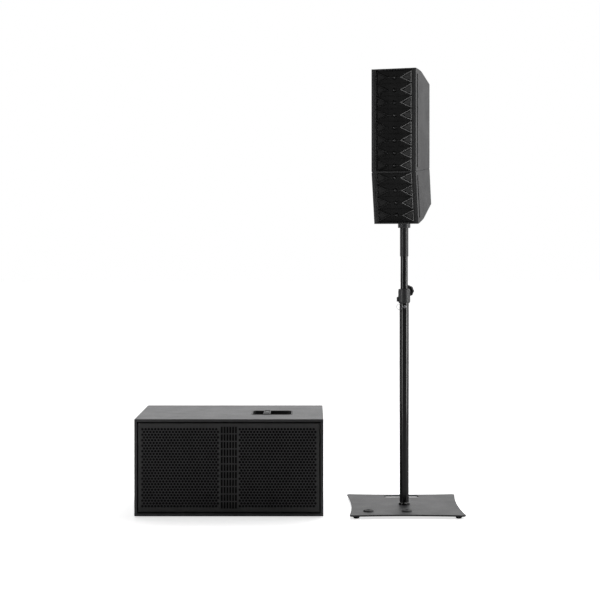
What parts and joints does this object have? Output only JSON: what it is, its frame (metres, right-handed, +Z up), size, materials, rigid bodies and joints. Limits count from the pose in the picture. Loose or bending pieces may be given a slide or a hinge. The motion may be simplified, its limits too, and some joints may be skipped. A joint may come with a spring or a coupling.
{
  "type": "column pa system",
  "caption": "Column PA system: a wide bass cabinet with a perforated grille, and a plate-based telescopic stand carrying a wedge-split column array.",
  "frame": {"origin": "on the floor, at the centre of the whole system's footprint", "axes": "the bass cabinet faces -Y, +X is to its right as seen from the front, +Z is up"},
  "size_m": [1.288, 0.5096, 1.753],
  "materials": {
    "cabinet_paint": "black textured paint over plywood",
    "baffle_board": "black stained board",
    "duct_plastic": "moulded",
    "grille_steel": "black powder coat, semi-matt",
    "black_foam": "open-cell foam",
    "woofer_frame": "black paint",
    "paper_cone": "coated paper",
    "dish_plastic": "fine grain",
    "grip_plastic": "fine grain",
    "panel_steel": "black powder coat",
    "heatsink_aluminium": "black anodised",
    "circuit_board": "laminate with components",
    "socket_plastic": "moulded",
    "switch_plastic": "moulded",
    "knob_plastic": "moulded",
    "plate_steel": "black powder coat, fine texture",
    "plug_plastic": "moulded",
    "zinc_steel": "zinc plated",
    "tube_steel": "black powder coat, semi-gloss",
    "collar_plastic": "moulded nylon",
    "shoe_plastic": "moulded nylon",
    "chrome_steel": "bright plated",
    "glide_plastic": "moulded nylon",
    "adapter_plastic": "moulded",
    "array_shell": "black textured paint",
    "waveguide_plastic": "moulded, semi-matt",
    "cast_aluminium": "black powder coat",
    "driver_steel": "black",
    "rubber_feet": "matt"
  },
  "bodies": {
    "base": {"sub_cabinet": "cabinet_paint", "sub_baffle": "baffle_board", "port_duct": "duct_plastic", "sub_grille": "grille_steel", "grille_foam": "black_foam", "woofer_frame_left": "woofer_frame", "woofer_frame_right": "woofer_frame", "handle_dish": "dish_plastic", "handle_grip": "grip_plastic", "sub_foot_1": "rubber_feet", "sub_foot_2": "rubber_feet", "sub_foot_3": "rubber_feet", "sub_foot_4": "rubber_feet", "amp_panel": "panel_steel", "amp_heatsink": "heatsink_aluminium", "amp_board": "circuit_board", "mains_inlet": "socket_plastic", "input_socket": "socket_plastic", "speaker_socket": "socket_plastic", "base_plate": "plate_steel", "base_foot_1": "rubber_feet", "base_foot_2": "rubber_feet", "base_foot_3": "rubber_feet", "base_foot_4": "rubber_feet", "plate_plug_middle": "plug_plastic", "plate_plug_corner": "plug_plastic", "foot_bolt": "zinc_steel", "lower_tube": "tube_steel", "clamp_collar": "collar_plastic"},
    "mast": {"upper_tube": "tube_steel", "tube_glide": "glide_plastic", "pole_adapter": "adapter_plastic"},
    "array": {"upper_cabinet": "array_shell", "lower_cabinet": "array_shell", "upper_waveguide": "waveguide_plastic", "lower_waveguide": "waveguide_plastic", "upper_driver_1": "driver_steel", "upper_driver_2": "driver_steel", "upper_driver_3": "driver_steel", "upper_driver_4": "driver_steel", "upper_driver_5": "driver_steel", "upper_driver_6": "driver_steel", "upper_driver_7": "driver_steel", "upper_driver_8": "driver_steel", "lower_driver_1": "driver_steel", "lower_driver_2": "driver_steel", "lower_driver_3": "driver_steel", "lower_driver_4": "driver_steel", "pole_socket": "cast_aluminium", "array_socket": "socket_plastic", "link_bolt_front": "zinc_steel", "link_bolt_rear": "zinc_steel"},
    "shoe": {"brake_shoe": "shoe_plastic"},
    "knob": {"clamp_knob": "knob_plastic"},
    "pin": {"locking_pin": "chrome_steel"},
    "ring": {"pin_ring": "chrome_steel"},
    "left_cone": {"woofer_cone_left": "paper_cone"},
    "right_cone": {"woofer_cone_right": "paper_cone"},
    "rocker": {"power_switch": "switch_plastic"},
    "level": {"level_knob": "knob_plastic"}
  },
  "joints": [
    {"name": "mast_height", "type": "slide", "parent": "base", "child": "mast", "axis": [0, 0, 1], "range_m": [-0.125, 0.35]},
    {"name": "array_yaw", "type": "hinge", "parent": "mast", "child": "array", "pos_m": [0.419, -0.03, 1.18], "axis": [0, 0, 1], "continuous": true},
    {"name": "shoe_advance", "type": "slide", "parent": "base", "child": "shoe", "axis": [0.3746, 0.9272, 0], "range_m": [0, 0.003]},
    {"name": "knob_turn", "type": "hinge", "parent": "shoe", "child": "knob", "pos_m": [0.43811, 0.01729, 0.874], "axis": [0.3746, 0.9272, 0], "range_deg": [0, 720]},
    {"name": "pin_pull", "type": "slide", "parent": "base", "child": "pin", "axis": [0, -1, 0], "range_m": [0, 0.006], "stiffness_N_per_m": 300},
    {"name": "ring_swing", "type": "hinge", "parent": "pin", "child": "ring", "pos_m": [0.4095, -0.055, 0.813], "axis": [0, 0, 1], "range_deg": [0, 90]},
    {"name": "left_cone_travel", "type": "slide", "parent": "base", "child": "left_cone", "axis": [0, -1, 0], "range_m": [-0.006, 0.006], "stiffness_N_per_m": 3000},
    {"name": "right_cone_travel", "type": "slide", "parent": "base", "child": "right_cone", "axis": [0, -1, 0], "range_m": [-0.006, 0.006], "stiffness_N_per_m": 3000},
    {"name": "power_rocker", "type": "hinge", "parent": "base", "child": "rocker", "pos_m": [-0.364, 0.2288, 0.113], "axis": [1, 0, 0], "range_deg": [-16, 0]},
    {"name": "level_turn", "type": "hinge", "parent": "base", "child": "level", "pos_m": [-0.328, 0.2373, 0.225], "axis": [0, 1, 0], "range_deg": [-150, 150]}
  ],
  "couplings": [
    {"joint": "knob_turn", "follows": "shoe_advance", "rad_per_m": 4188.7}
  ]
}
